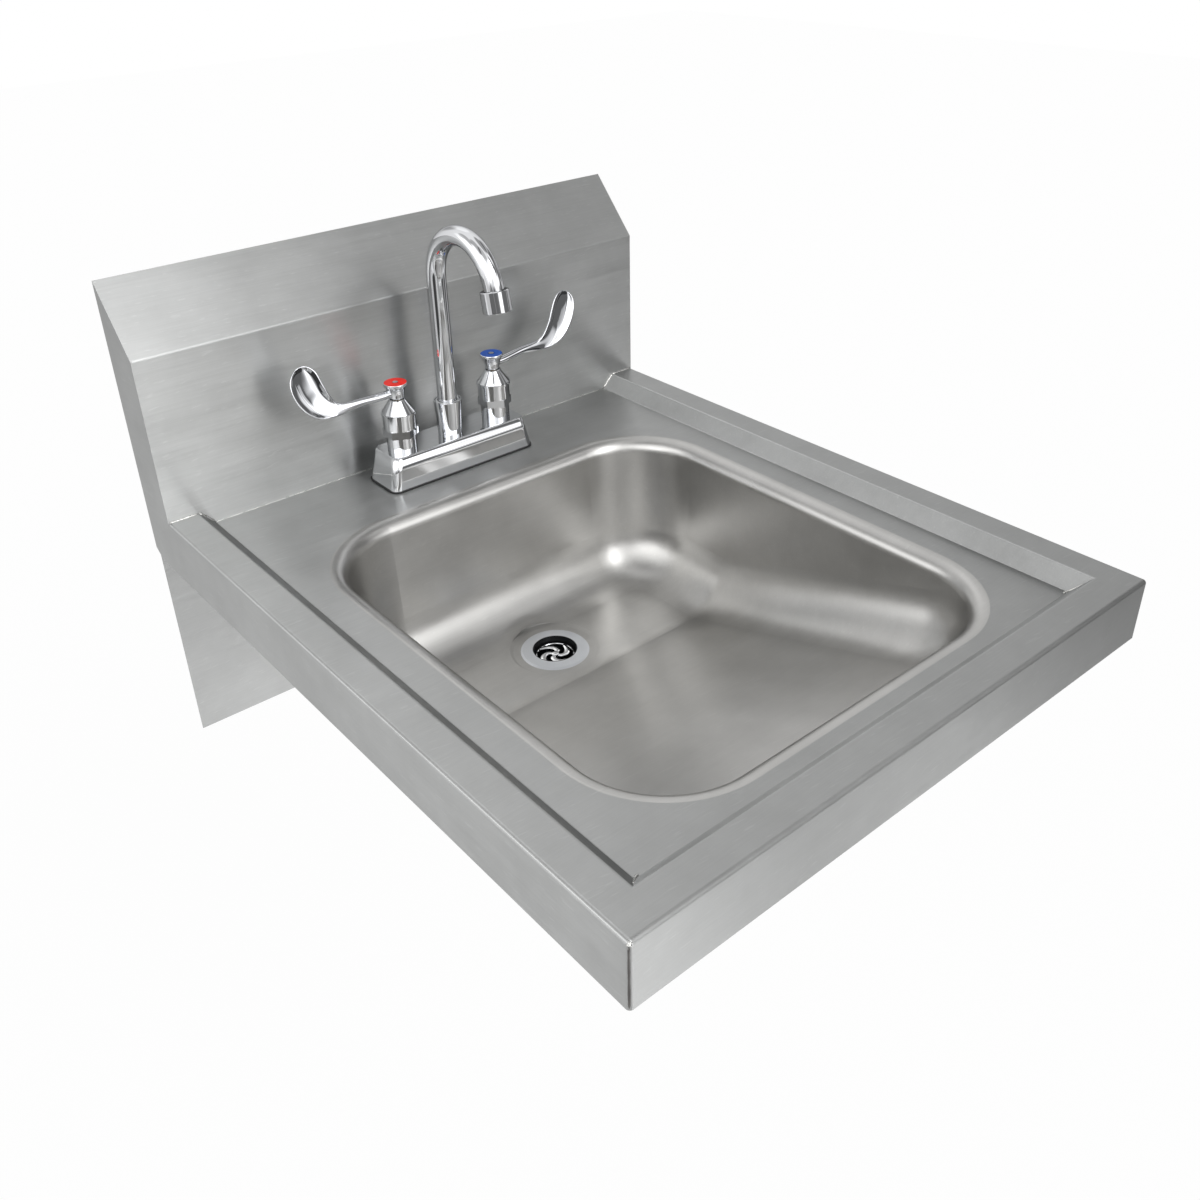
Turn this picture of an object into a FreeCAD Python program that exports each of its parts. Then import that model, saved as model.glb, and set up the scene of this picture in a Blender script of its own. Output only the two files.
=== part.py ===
import FreeCAD, Part
import math
import os

Vector = FreeCAD.Vector

# All sizes are millimetres and degrees. X runs to the right as the user faces the basin,
# +Y runs into the wall, +Z is up. The origin lies on the wall, at mid width, level with the rim.

# Sheet metal
sheet = 1.2
bend_radius = 3.0
overrun = 5.0

# Bowl, drawn from one sheet
bowl_width = 355.6
bowl_length = 406.4
bowl_depth = 135.0
bowl_corner_radius = 70.0
bowl_draft = 3.5
bowl_floor_radius = 46.0
bowl_lip_radius = 12.0
bowl_lip_land = 1.0
flat_floor_length = 124.0
ramp_slope = 16.8
drain_recess_radius = 37.5
drain_recess_slope = 3.0
drain_recess_depth = 2.2
drain_setback = 79.0

# Deck, raised rim and apron
side_ledge = 37.7
front_ledge = 24.6
rear_ledge = 104.0
rim_slope_run = 12.0
rim_flat_side = 26.5
rim_flat_front = 27.0
deck_drop = 12.7
apron_height = 50.8
rear_flange_height = 25.0

# Backsplash box
splash_depth = 48.0
splash_bend_height = 141.0
splash_rise = 194.0
end_chamfer_run = 12.0
end_chamfer_rise = 8.0

# Wall hanger that the backsplash hooks over
hanger_sheet = 2.0
hook_engagement = 34.0
hook_slack = 0.4
tongue_height = 22.0
hanger_leg_height = 42.0
hanger_length = 440.0
hanger_hole_spacing = 406.4
hanger_hole_radius = 3.5
hanger_hole_height = 16.0

# Panel that bears on the wall below the basin
skirt_drop = 244.0
skirt_top_rise = 10.0
skirt_side_inset = 2.0
skirt_hole_spacing = 203.2
skirt_hole_radius = 3.5
skirt_hole_height = 44.0

# Clearances
running_gap = 0.06
plug_gap = 0.03
thread_gap = 0.05
end_gap = 0.3

# Faucet base, measured up from the deck
faucet_setback = 39.0
valve_spacing = 101.6
gasket_thickness = 1.6
gasket_lip = 1.0
base_height = 31.0
base_length = 152.0
base_depth = 45.0
base_corner_radius = 7.0
base_end_slope_run = 6.0
base_side_slope_run = 3.5
base_wall = 2.0
base_edge_radius = 1.2
hole_gap = 0.3

# Brass body inside the base, with the two supply shanks
body_floor = 5.0
body_bar_height = 15.0
body_bar_depth = 20.0
body_boss_radius = 12.0
waterway_radius = 4.5
shank_radius = 10.45
shank_bore_radius = 6.0
shank_drop = 56.0
supply_end_radius = 10.2
supply_end_length = 38.0
deck_hole_gap = 3.0
shank_washer_radius = 19.0
shank_washer_thickness = 2.0
shank_nut_flats = 32.0
shank_nut_height = 9.0
nipple_radius = 9.0
nipple_height = 18.0
nipple_bore_radius = 7.0

# Valve bodies, bonnets and cartridges
stub_radius = 8.95
stub_length = 14.0
valve_barrel_radius = 13.0
valve_barrel_height = 13.0
valve_hex_flats = 27.0
valve_hex_height = 7.0
valve_thread_radius = 12.6
valve_thread_height = 5.5
cartridge_radius = 7.4
cartridge_seat = 1.5
cartridge_inlet_radius = 4.0
cartridge_body_rise = 3.0
cartridge_neck_radius = 5.2
bonnet_radius = 14.5
bonnet_skirt_height = 13.0
bonnet_ring_radius = 15.5
bonnet_ring_height = 2.0
bonnet_cone_height = 11.0
bonnet_neck_radius = 7.2
bonnet_neck_height = 1.2
bonnet_wall = 1.8
stem_radius = 3.5
stem_foot_radius = 5.4
stem_foot_height = 5.0

# Wrist-blade handles
hub_height = 14.2
hub_neck_radius = 6.8
hub_top_radius = 10.4
hub_band_height = 2.4
hub_socket_depth = 9.2
index_recess = 1.2
index_rim = 0.6
index_thickness = 1.3
index_hole_radius = 2.8
handle_screw_radius = 1.5
handle_screw_head_radius = 2.4
handle_screw_head_height = 1.6
handle_screw_engagement = 8.0
arm_height = 8.0
arm_below_hub_top = 9.5
blade_thickness = 4.0
blade_edge_radius = 1.4
blade_lean = 67.0
blade_width = 26.4
blade_reach = 97.0
blade_rise = 50.0
heel_radius = 20.0
throat_radius = 10.0

# Gooseneck spout
collar_bottom_radius = 10.9
collar_top_radius = 12.8
collar_height = 31.5
collar_rim = 1.3
collar_lip_height = 2.0
tube_radius = 8.5
tube_wall = 1.2
tube_rise = 143.6
gooseneck_radius = 43.2
gooseneck_turn = 169.0
bushing_flange_height = 2.2
bushing_plug_length = 16.0
bushing_bore_radius = 4.6
ring_section_radius = 0.7
ring_lower_share = 0.3
ring_upper_share = 0.72
aerator_radius = 12.0
aerator_length = 17.7
aerator_socket_length = 7.0
aerator_wall = 1.5
aerator_edge = 0.6
aerator_washer_thickness = 1.6
aerator_insert_length = 5.5
aerator_hole_radius = 0.9
aerator_hole_rings = 3

# Drain
drain_flange_radius = 31.0
drain_flange_thickness = 1.6
drain_throat_radius = 19.5
drain_tube_radius = 21.5
drain_tube_length = 46.0
drain_hole_gap = 0.4
drain_seat_width = 2.2
drain_seat_drop = 7.0
strainer_thickness = 2.0
strainer_rim_width = 2.4
strainer_ring_radius = 10.5
strainer_ring_width = 1.8
strainer_hub_radius = 3.6
strainer_bar_width = 3.0
strainer_bars = 4
drain_gasket_radius = 31.0
drain_gasket_thickness = 3.0
drain_washer_thickness = 1.0
locknut_radius = 33.0
locknut_height = 8.0
locknut_lug_count = 6
locknut_lug_width = 9.0
locknut_lug_reach = 3.0
tailpiece_radius = 19.05
tailpiece_wall = 1.0
tailpiece_flange_thickness = 1.5
tailpiece_neck_radius = 19.6
tailpiece_neck_height = 6.0
tailpiece_length = 100.0
tail_washer_thickness = 1.8
tail_nut_flats = 54.0
tail_nut_height = 17.0
tail_nut_floor = 3.0

# Places worked out from the sizes above
basin_half_width = bowl_width / 2 + side_ledge + rim_slope_run + rim_flat_side
deck_z = -deck_drop
apron_z = -apron_height
splash_y = -splash_depth
bowl_back_y = splash_y - rear_ledge
bowl_front_y = bowl_back_y - bowl_length
basin_front_y = bowl_front_y - front_ledge - rim_slope_run - rim_flat_front
bowl_floor_z = deck_z - bowl_depth
crease_y = bowl_back_y - flat_floor_length
drain_y = bowl_back_y - drain_setback
faucet_y = splash_y - faucet_setback
valve_x = valve_spacing / 2
base_top_z = deck_z + base_height
hex_z = base_top_z + valve_barrel_height
bonnet_z = hex_z + valve_hex_height
bonnet_ring_z = bonnet_z + bonnet_skirt_height
bonnet_cone_z = bonnet_ring_z + bonnet_ring_height
bonnet_neck_z = bonnet_cone_z + bonnet_cone_height
bonnet_top_z = bonnet_neck_z + bonnet_neck_height
hub_z = bonnet_top_z + end_gap
hub_top_z = hub_z + hub_height
stem_top_z = hub_z + hub_socket_depth
collar_seat_z = base_top_z + nipple_height
tube_z = collar_seat_z + bushing_flange_height
cartridge_foot_z = base_top_z - stub_length + cartridge_seat
cartridge_shoulder_z = bonnet_z + valve_thread_height + cartridge_body_rise


def box(x_low, x_high, y_low, y_high, z_low, z_high):
    """A block between two corners."""
    return Part.makeBox(x_high - x_low, y_high - y_low, z_high - z_low, Vector(x_low, y_low, z_low))


def rod(radius, z_low, z_high, x, y):
    """An upright cylinder."""
    return Part.makeCylinder(radius, z_high - z_low, Vector(x, y, z_low))


def washer(outer, inner, z_low, z_high, x, y):
    """An upright ring with a square section."""
    return rod(outer, z_low, z_high, x, y).cut(rod(inner, z_low - overrun, z_high + overrun, x, y))


def turned(profile, x, y):
    """A closed outline of radius and height, turned about an upright axis."""
    points = [Vector(x + radius, y, z) for radius, z in profile]
    face = Part.Face(Part.makePolygon(points + points[:1]))
    return face.revolve(Vector(x, y, 0), Vector(0, 0, 1), 360)


def hexagon(flats, z_low, z_high, x, y):
    """An upright hexagonal prism with two flats square to X."""
    reach = flats / math.sqrt(3)
    turns = [math.radians(30 + 60 * side) for side in range(6)]
    points = [Vector(x + reach * math.cos(turn), y + reach * math.sin(turn), z_low) for turn in turns]
    return Part.Face(Part.makePolygon(points + points[:1])).extrude(Vector(0, 0, z_high - z_low))


def side_profile(points, x_low, x_high):
    """A closed outline of Y and Z, carried along X."""
    corners = [Vector(x_low, y, z) for y, z in points]
    return Part.Face(Part.makePolygon(corners + corners[:1])).extrude(Vector(x_high - x_low, 0, 0))


def rounded_outline(half_width, y_front, y_back, radius, z):
    """A level rectangle with round corners, centred on X."""
    block = box(-half_width, half_width, y_front, y_back, z, z + overrun)
    uprights = [edge for edge in block.Edges if edge.BoundBox.ZLength > overrun / 2]
    rounded = block.makeFillet(radius, uprights)
    floors = [face for face in rounded.Faces if face.BoundBox.ZMax < z + overrun / 2]
    return floors[0].OuterWire


def edges_where(shape, test):
    """The edges whose bounding box passes a test."""
    return [edge for edge in shape.Edges if test(edge.BoundBox)]


def level_at(height, limit=overrun / 100):
    """A test for edges that lie level at one height."""
    return lambda bounds: abs(bounds.ZMin - height) < limit and abs(bounds.ZMax - height) < limit


def bowl_outline(grow, depth):
    """The bowl's inner outline at a depth below the deck, grown outwards."""
    shift = grow / math.cos(math.radians(bowl_draft)) - depth * math.tan(math.radians(bowl_draft))
    return rounded_outline(
        bowl_width / 2 + shift,
        bowl_front_y - shift,
        bowl_back_y + shift,
        bowl_corner_radius + shift,
        deck_z - depth,
    )


def bowl_ramp(grow):
    """What lies under the sloped front part of the bowl's floor."""
    slope = math.radians(ramp_slope)
    floor = bowl_floor_z - grow
    start = crease_y - grow * math.tan(slope / 2)
    end = bowl_front_y - bowl_lip_radius - overrun
    rise = (start - end) * math.tan(slope)
    outline = [(start, floor), (end, floor + rise), (end, floor - overrun), (start, floor - overrun)]
    return side_profile(outline, -bowl_width, bowl_width)


def bowl_space(grow):
    """The hollow of the bowl, grown outwards for the underside of its sheet."""
    depth = bowl_depth + grow
    walls = Part.makeLoft([bowl_outline(grow, -overrun), bowl_outline(grow, depth)], True, True)
    space = walls.cut(bowl_ramp(grow))
    level = -math.cos(math.radians(2 * ramp_slope))
    floors = [face for face in space.Faces if face.normalAt(0, 0).z < level]
    seen = {}
    for face in floors:
        for edge in face.Edges:
            seen[edge.hashCode()] = edge
    space = space.makeFillet(bowl_floor_radius + grow, list(seen.values()))
    recess_top = drain_recess_radius + drain_recess_slope + grow
    recess_floor = bowl_floor_z - drain_recess_depth - grow
    recess = turned(
        [
            (0, recess_floor),
            (drain_recess_radius + grow, recess_floor),
            (recess_top, bowl_floor_z - grow),
            (recess_top, bowl_floor_z + drain_recess_depth),
            (0, bowl_floor_z + drain_recess_depth),
        ],
        0,
        drain_y,
    )
    return space.fuse(recess).removeSplitter()


def bowl_die(grow):
    """A block around the bowl's hollow with the lip rounded over."""
    margin = bowl_lip_radius + bowl_lip_land + overrun
    top = deck_z - grow
    block = box(
        -bowl_width / 2 - margin,
        bowl_width / 2 + margin,
        bowl_front_y - margin,
        bowl_back_y + margin,
        bowl_floor_z - drain_recess_depth - overrun,
        top,
    )
    die = block.cut(bowl_space(grow))
    reach = bowl_width / 2 + margin - overrun / 2
    at_top = level_at(top)
    lip = edges_where(die, lambda bounds: at_top(bounds) and max(-bounds.XMin, bounds.XMax) < reach)
    inner = [edge for edge in lip if edge.BoundBox.YMin > bowl_front_y - margin + overrun / 2]
    inner = [edge for edge in inner if edge.BoundBox.YMax < bowl_back_y + margin - overrun / 2]
    return die.makeFillet(bowl_lip_radius - grow, inner)


def bowl_blank(z_low, z_high):
    """The prism inside the joint between the bowl's lip and the deck."""
    margin = bowl_lip_radius + bowl_lip_land
    outline = rounded_outline(
        bowl_width / 2 + margin,
        bowl_front_y - margin,
        bowl_back_y + margin,
        bowl_corner_radius + margin,
        z_low,
    )
    return Part.Face(outline).extrude(Vector(0, 0, z_high - z_low))


def make_bowl():
    """The drawn bowl with its rounded lip, sloped front floor and drain recess."""
    shell = bowl_die(0).cut(bowl_die(sheet))
    blank = bowl_blank(bowl_floor_z - drain_recess_depth - sheet - overrun, deck_z)
    shell = shell.common(blank)
    floor_z = bowl_floor_z - drain_recess_depth
    hole = rod(drain_tube_radius + drain_hole_gap, floor_z - overrun, floor_z + overrun, 0, drain_y)
    return shell.cut(hole)


def deck_recess(grow):
    """The space over the deck inside the raised rim, grown downwards for the underside."""
    lean = rim_slope_run / deck_drop
    shift = grow * math.hypot(1, lean)
    low = deck_z - grow
    back = splash_y + overrun
    half = basin_half_width - rim_flat_side + shift
    front = basin_front_y + rim_flat_front - shift
    high_half = half + overrun * lean
    low_half = half + low * lean
    across = [(-high_half, overrun), (high_half, overrun), (low_half, low), (-low_half, low)]
    corners = [Vector(x, basin_front_y, z) for x, z in across]
    slice_face = Part.Face(Part.makePolygon(corners + corners[:1]))
    between_sides = slice_face.extrude(Vector(0, back - basin_front_y, 0))
    along = [(front - overrun * lean, overrun), (back, overrun), (back, low), (front - low * lean, low)]
    return between_sides.common(side_profile(along, -basin_half_width, basin_half_width))


def pan_form(shrink, z_low):
    """The rim, deck and apron as a solid form with rounded bends, taken in by the sheet's thickness."""
    convex = bend_radius - shrink
    concave = bend_radius - sheet + shrink
    half = basin_half_width - shrink
    front = basin_front_y + shrink
    block = box(-half, half, front, splash_y, z_low, -shrink)
    at_top = level_at(-shrink)
    uprights = edges_where(
        block, lambda bounds: bounds.ZLength > apron_height / 2 and bounds.YMax < front + overrun
    )
    bends = edges_where(block, lambda bounds: at_top(bounds) and bounds.YMin < splash_y - overrun)
    form = block.makeFillet(convex, uprights + bends).cut(deck_recess(shrink))
    for height, radius in ((-shrink, convex), (deck_z - shrink, concave)):
        at_height = level_at(height)
        level = edges_where(form, at_height)
        reach = half - rim_flat_side / 2
        inner = [edge for edge in level if max(-edge.BoundBox.XMin, edge.BoundBox.XMax) < reach]
        inner = [edge for edge in inner if edge.BoundBox.YMin > front + rim_flat_front / 2]
        inner = [edge for edge in inner if edge.BoundBox.YMin < splash_y - overrun]
        form = form.makeFillet(radius, inner)
    return form


def make_top_pan():
    """The deck, the raised rim on three sides and the apron, in one sheet."""
    pan = pan_form(0, apron_z).cut(pan_form(sheet, apron_z - overrun))
    strip_x = basin_half_width - sheet - end_gap
    strip = box(-strip_x, strip_x, splash_y, -sheet, deck_z - sheet, deck_z)
    flange_x = basin_half_width - sheet - skirt_side_inset
    flange = box(-flange_x, flange_x, -2 * sheet, -sheet, deck_z - rear_flange_height, deck_z)
    pan = pan.fuse([strip, flange]).cut(bowl_blank(deck_z - overrun, deck_z + overrun))
    for x in (-valve_x, valve_x):
        pan = pan.cut(rod(shank_radius + deck_hole_gap, deck_z - overrun, deck_z + overrun, x, faucet_y))
    return pan.removeSplitter()


def make_backsplash():
    """The upright sheet, its sloped return to the wall and the hook flange behind."""
    rise = splash_rise - splash_bend_height
    drop = sheet * math.hypot(splash_depth, rise) / splash_depth
    hook_z = splash_rise - hook_engagement
    outline = [
        (splash_y, deck_z),
        (splash_y, splash_bend_height),
        (0, splash_rise),
        (0, hook_z),
        (-sheet, hook_z),
        (-sheet, splash_rise - sheet * rise / splash_depth - drop),
        (splash_y + sheet, splash_bend_height + sheet * rise / splash_depth - drop),
        (splash_y + sheet, deck_z),
    ]
    inner_x = basin_half_width - sheet
    splash = side_profile(outline, -inner_x, inner_x)
    at_bend = level_at(splash_bend_height)
    bend = edges_where(splash, lambda bounds: at_bend(bounds) and bounds.XLength > inner_x)
    return splash.makeFillet(bend_radius, bend)


def make_splash_end(side):
    """One end plate of the backsplash box, level with the apron below."""
    outline = [
        (splash_y, apron_z),
        (splash_y, splash_bend_height),
        (0, splash_rise),
        (0, apron_z + end_chamfer_rise),
        (-end_chamfer_run, apron_z),
    ]
    faces = sorted((side * (basin_half_width - sheet), side * basin_half_width))
    return side_profile(outline, faces[0], faces[1])


def make_wall_skirt():
    """The flat panel that bears on the wall behind and below the basin."""
    half_width = basin_half_width - skirt_side_inset
    panel = box(-half_width, half_width, -sheet, 0, -skirt_drop, skirt_top_rise)
    hole_depth = sheet + 2 * overrun
    for x in (-skirt_hole_spacing / 2, skirt_hole_spacing / 2):
        place = Vector(x, -sheet - overrun, skirt_hole_height - skirt_drop)
        panel = panel.cut(Part.makeCylinder(skirt_hole_radius, hole_depth, place, Vector(0, 1, 0)))
    return panel


def make_wall_hanger():
    """The offset strip on the wall, whose tongue stands inside the hook flange."""
    shelf_z = splash_rise - hook_engagement
    tongue_y = -sheet - hook_slack
    foot_z = shelf_z - hanger_leg_height
    outline = [
        (0, foot_z),
        (0, shelf_z),
        (tongue_y, shelf_z),
        (tongue_y, shelf_z + tongue_height),
        (tongue_y - hanger_sheet, shelf_z + tongue_height),
        (tongue_y - hanger_sheet, shelf_z - hanger_sheet),
        (-hanger_sheet, shelf_z - hanger_sheet + tongue_y),
        (-hanger_sheet, foot_z),
    ]
    hanger = side_profile(outline, -hanger_length / 2, hanger_length / 2)
    for x in (-hanger_hole_spacing / 2, hanger_hole_spacing / 2):
        place = Vector(x, -hanger_sheet - overrun, foot_z + hanger_hole_height)
        hole = Part.makeCylinder(hanger_hole_radius, hanger_sheet + 2 * overrun, place, Vector(0, 1, 0))
        hanger = hanger.cut(hole)
    return hanger


def base_form(inset, z_low, z_high):
    """The faucet base's sloped block, taken in by a wall thickness."""
    sections = []
    for z in (z_low, z_high):
        share = (z - deck_z - gasket_thickness) / (base_height - gasket_thickness)
        half_length = base_length / 2 - base_end_slope_run * share - inset
        half_depth = base_depth / 2 - base_side_slope_run * share - inset
        radius = base_corner_radius - inset
        sections.append(
            rounded_outline(half_length, faucet_y - half_depth, faucet_y + half_depth, radius, z)
        )
    return Part.makeLoft(sections, True, True)


def make_faucet_base():
    """The plated cover of the faucet, open below."""
    bottom_z = deck_z + gasket_thickness
    cover = base_form(0, bottom_z, base_top_z)
    cover = cover.makeFillet(base_edge_radius, edges_where(cover, level_at(base_top_z)))
    cover = cover.cut(base_form(base_wall, bottom_z, base_top_z - base_wall))
    for x, radius in ((-valve_x, stub_radius), (valve_x, stub_radius), (0, nipple_radius)):
        cover = cover.cut(rod(radius + hole_gap, bottom_z, base_top_z + overrun, x, faucet_y))
    return cover


def make_faucet_gasket():
    """The black sealing pad between the base and the deck."""
    pad_outline = rounded_outline(
        base_length / 2 + gasket_lip,
        faucet_y - base_depth / 2 - gasket_lip,
        faucet_y + base_depth / 2 + gasket_lip,
        base_corner_radius + gasket_lip,
        deck_z,
    )
    pad = Part.Face(pad_outline).extrude(Vector(0, 0, gasket_thickness))
    for x in (-valve_x, valve_x):
        pad = pad.cut(rod(shank_radius + hole_gap, deck_z - overrun, deck_z + overrun, x, faucet_y))
    return pad


def make_faucet_body():
    """The brass casting: waterway bar, valve bosses, spout nipple and supply shanks."""
    floor_z = deck_z + body_floor
    bar_top_z = floor_z + body_bar_height
    boss_top_z = base_top_z - base_wall
    half_depth = body_bar_depth / 2
    body = box(-valve_x, valve_x, faucet_y - half_depth, faucet_y + half_depth, floor_z, bar_top_z)
    body = body.fuse(rod(nipple_radius, floor_z, collar_seat_z, 0, faucet_y))
    for x in (-valve_x, valve_x):
        body = body.fuse(rod(body_boss_radius, floor_z, boss_top_z, x, faucet_y))
        supply_end_z = deck_z - shank_drop
        shank_z = supply_end_z + supply_end_length
        body = body.fuse(rod(shank_radius, shank_z, floor_z, x, faucet_y))
        body = body.fuse(rod(supply_end_radius, supply_end_z, shank_z, x, faucet_y))
    waterway_z = floor_z + waterway_radius + base_wall
    waterway = Part.makeCylinder(
        waterway_radius, valve_spacing, Vector(-valve_x, faucet_y, waterway_z), Vector(1, 0, 0)
    )
    body = body.cut(waterway)
    for x in (-valve_x, valve_x):
        body = body.cut(rod(stub_radius + thread_gap, base_top_z - stub_length, base_top_z, x, faucet_y))
        body = body.cut(rod(shank_bore_radius, deck_z - shank_drop - overrun, base_top_z, x, faucet_y))
    plug_floor_z = collar_seat_z - bushing_plug_length - end_gap
    plug_bore = rod(nipple_bore_radius + running_gap, plug_floor_z, collar_seat_z + overrun, 0, faucet_y)
    body = body.cut(plug_bore)
    return body.cut(rod(waterway_radius, waterway_z, collar_seat_z, 0, faucet_y)).removeSplitter()


def make_shank_washers():
    """The two wide washers under the deck."""
    top_z = deck_z - sheet
    inner = shank_radius + hole_gap
    rings = [
        washer(shank_washer_radius, inner, top_z - shank_washer_thickness, top_z, x, faucet_y)
        for x in (-valve_x, valve_x)
    ]
    return Part.makeCompound(rings)


def make_shank_nuts():
    """The two hexagonal nuts that pull the faucet down on the deck."""
    top_z = deck_z - sheet - shank_washer_thickness
    nuts = []
    for x in (-valve_x, valve_x):
        nut = hexagon(shank_nut_flats, top_z - shank_nut_height, top_z, x, faucet_y)
        bore = rod(shank_radius + thread_gap, top_z - shank_nut_height, top_z, x, faucet_y)
        nuts.append(nut.cut(bore))
    return Part.makeCompound(nuts)


def make_valve_body(x):
    """The plated barrel with its wrench flats, screwed down through the base."""
    stub = rod(stub_radius, base_top_z - stub_length, base_top_z, x, faucet_y)
    barrel = rod(valve_barrel_radius, base_top_z, hex_z, x, faucet_y)
    flats = hexagon(valve_hex_flats, hex_z, bonnet_z, x, faucet_y)
    thread = rod(valve_thread_radius, bonnet_z, bonnet_z + valve_thread_height, x, faucet_y)
    body = stub.fuse([barrel, flats, thread])
    body = body.cut(rod(cartridge_radius + plug_gap, cartridge_foot_z, bonnet_ring_z, x, faucet_y))
    inlet = rod(cartridge_inlet_radius, base_top_z - stub_length - overrun, bonnet_z, x, faucet_y)
    return body.cut(inlet).removeSplitter()


def make_cartridge(x):
    """The brass cartridge that holds the turning stem."""
    barrel = rod(cartridge_radius, cartridge_foot_z, cartridge_shoulder_z, x, faucet_y)
    neck = rod(cartridge_neck_radius, cartridge_shoulder_z, bonnet_top_z - end_gap, x, faucet_y)
    cartridge = barrel.fuse(neck)
    chamber_top = cartridge_shoulder_z - stem_foot_height
    foot_radius = stem_foot_radius + running_gap
    chamber = rod(foot_radius, cartridge_foot_z + cartridge_seat, chamber_top, x, faucet_y)
    inlet = rod(cartridge_inlet_radius, cartridge_foot_z - overrun, chamber_top, x, faucet_y)
    bore = rod(stem_radius + running_gap, chamber_top, bonnet_top_z + overrun, x, faucet_y)
    return cartridge.cut(chamber).cut(inlet).cut(bore).removeSplitter()


def make_stem(x):
    """The turning stem, with a foot that the cartridge retains."""
    foot_top = cartridge_shoulder_z - stem_foot_height - running_gap
    foot = rod(stem_foot_radius, foot_top - stem_foot_height, foot_top, x, faucet_y)
    shaft = rod(stem_radius, foot_top, stem_top_z, x, faucet_y)
    hole_radius = handle_screw_radius + plug_gap
    screw_hole = rod(hole_radius, screw_tip_z() - end_gap, stem_top_z + overrun, x, faucet_y)
    return foot.fuse(shaft).cut(screw_hole).removeSplitter()


def make_bonnet(x):
    """The plated skirt, shoulder ring and cone over the cartridge."""
    inner_thread = valve_thread_radius + thread_gap
    inner_neck = cartridge_neck_radius + plug_gap
    inner_cone = cartridge_radius + bonnet_wall
    profile = [
        (inner_thread, bonnet_z),
        (bonnet_radius, bonnet_z),
        (bonnet_radius, bonnet_ring_z),
        (bonnet_ring_radius, bonnet_ring_z),
        (bonnet_ring_radius, bonnet_cone_z),
        (bonnet_radius, bonnet_cone_z),
        (bonnet_neck_radius, bonnet_neck_z),
        (bonnet_neck_radius, bonnet_top_z),
        (inner_neck, bonnet_top_z),
        (inner_neck, bonnet_neck_z - bonnet_wall),
        (inner_cone, bonnet_cone_z),
        (inner_thread, bonnet_ring_z - bonnet_wall),
    ]
    return turned(profile, x, faucet_y)


def screw_tip_z():
    """How far down the handle screw reaches."""
    return stem_top_z - handle_screw_engagement


def blade_outline(side, x):
    """The arm and the raised wrist blade, seen from the front, as one closed wire."""
    lean = math.radians(blade_lean)
    along = Vector(side * math.cos(lean), 0, math.sin(lean))
    across = Vector(side * math.sin(lean), 0, -math.cos(lean))
    arm_top = hub_top_z - arm_below_hub_top + arm_height
    arm_bottom = arm_top - arm_height
    half = blade_width / 2
    tip = Vector(x + side * (blade_reach - half), faucet_y, arm_bottom + blade_rise - half)
    inner_side = tip - across * half
    outer_side = tip + across * half
    throat = inner_side - along * ((inner_side.z - arm_top) / math.sin(lean))
    heel = outer_side - along * ((outer_side.z - arm_bottom) / math.sin(lean))
    outward = Vector(side, 0, 0)
    throat_run = throat_radius * math.tan(lean / 2)
    heel_run = heel_radius * math.tan(lean / 2)
    throat_centre = throat - outward * throat_run + Vector(0, 0, throat_radius)
    heel_centre = heel - outward * heel_run + Vector(0, 0, heel_radius)
    bisector = Vector(side * math.sin(lean / 2), 0, -math.cos(lean / 2))
    root_top = Vector(x, faucet_y, arm_top)
    root_bottom = Vector(x, faucet_y, arm_bottom)
    throat_start = throat - outward * throat_run
    throat_end = throat + along * throat_run
    heel_start = heel + along * heel_run
    heel_end = heel - outward * heel_run
    edges = [
        Part.LineSegment(root_top, throat_start).toShape(),
        Part.Arc(throat_start, throat_centre + bisector * throat_radius, throat_end).toShape(),
        Part.LineSegment(throat_end, inner_side).toShape(),
        Part.Arc(inner_side, tip + along * half, outer_side).toShape(),
        Part.LineSegment(outer_side, heel_start).toShape(),
        Part.Arc(heel_start, heel_centre + bisector * heel_radius, heel_end).toShape(),
        Part.LineSegment(heel_end, root_bottom).toShape(),
        Part.LineSegment(root_bottom, root_top).toShape(),
    ]
    return Part.Wire(edges)


def make_handle(side, x):
    """The flared hub with its arm and wrist blade."""
    recess_z = hub_top_z - index_recess
    hub = turned(
        [
            (0, hub_z),
            (hub_neck_radius, hub_z),
            (hub_top_radius, hub_top_z - hub_band_height),
            (hub_top_radius, hub_top_z),
            (hub_top_radius - index_rim, hub_top_z),
            (hub_top_radius - index_rim, recess_z),
            (0, recess_z),
        ],
        x,
        faucet_y,
    )
    plate = Part.Face(blade_outline(side, x)).extrude(Vector(0, blade_thickness, 0))
    plate.translate(Vector(0, -blade_thickness / 2, 0))
    flat_edges = edges_where(plate, lambda bounds: bounds.YLength < blade_edge_radius)
    reach = hub_top_radius / 2
    far_edges = [edge for edge in flat_edges if side * (edge.CenterOfMass.x - x) > reach]
    plate = plate.makeFillet(blade_edge_radius, far_edges)
    handle = hub.fuse(plate)
    handle = handle.cut(rod(stem_radius + plug_gap, hub_z - overrun, stem_top_z + plug_gap, x, faucet_y))
    screw_hole = rod(handle_screw_radius + plug_gap, stem_top_z, hub_top_z, x, faucet_y)
    return handle.cut(screw_hole).removeSplitter()


def make_index(x):
    """The coloured ring let into the top of the hub."""
    floor_z = hub_top_z - index_recess
    radius = hub_top_radius - index_rim - plug_gap
    return washer(radius, index_hole_radius, floor_z, floor_z + index_thickness, x, faucet_y)


def make_handle_screw(x):
    """The screw through the hub into the stem."""
    floor_z = hub_top_z - index_recess
    shaft = rod(handle_screw_radius, screw_tip_z(), floor_z, x, faucet_y)
    head = rod(handle_screw_head_radius, floor_z, floor_z + handle_screw_head_height, x, faucet_y)
    return shaft.fuse(head).removeSplitter()


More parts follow.
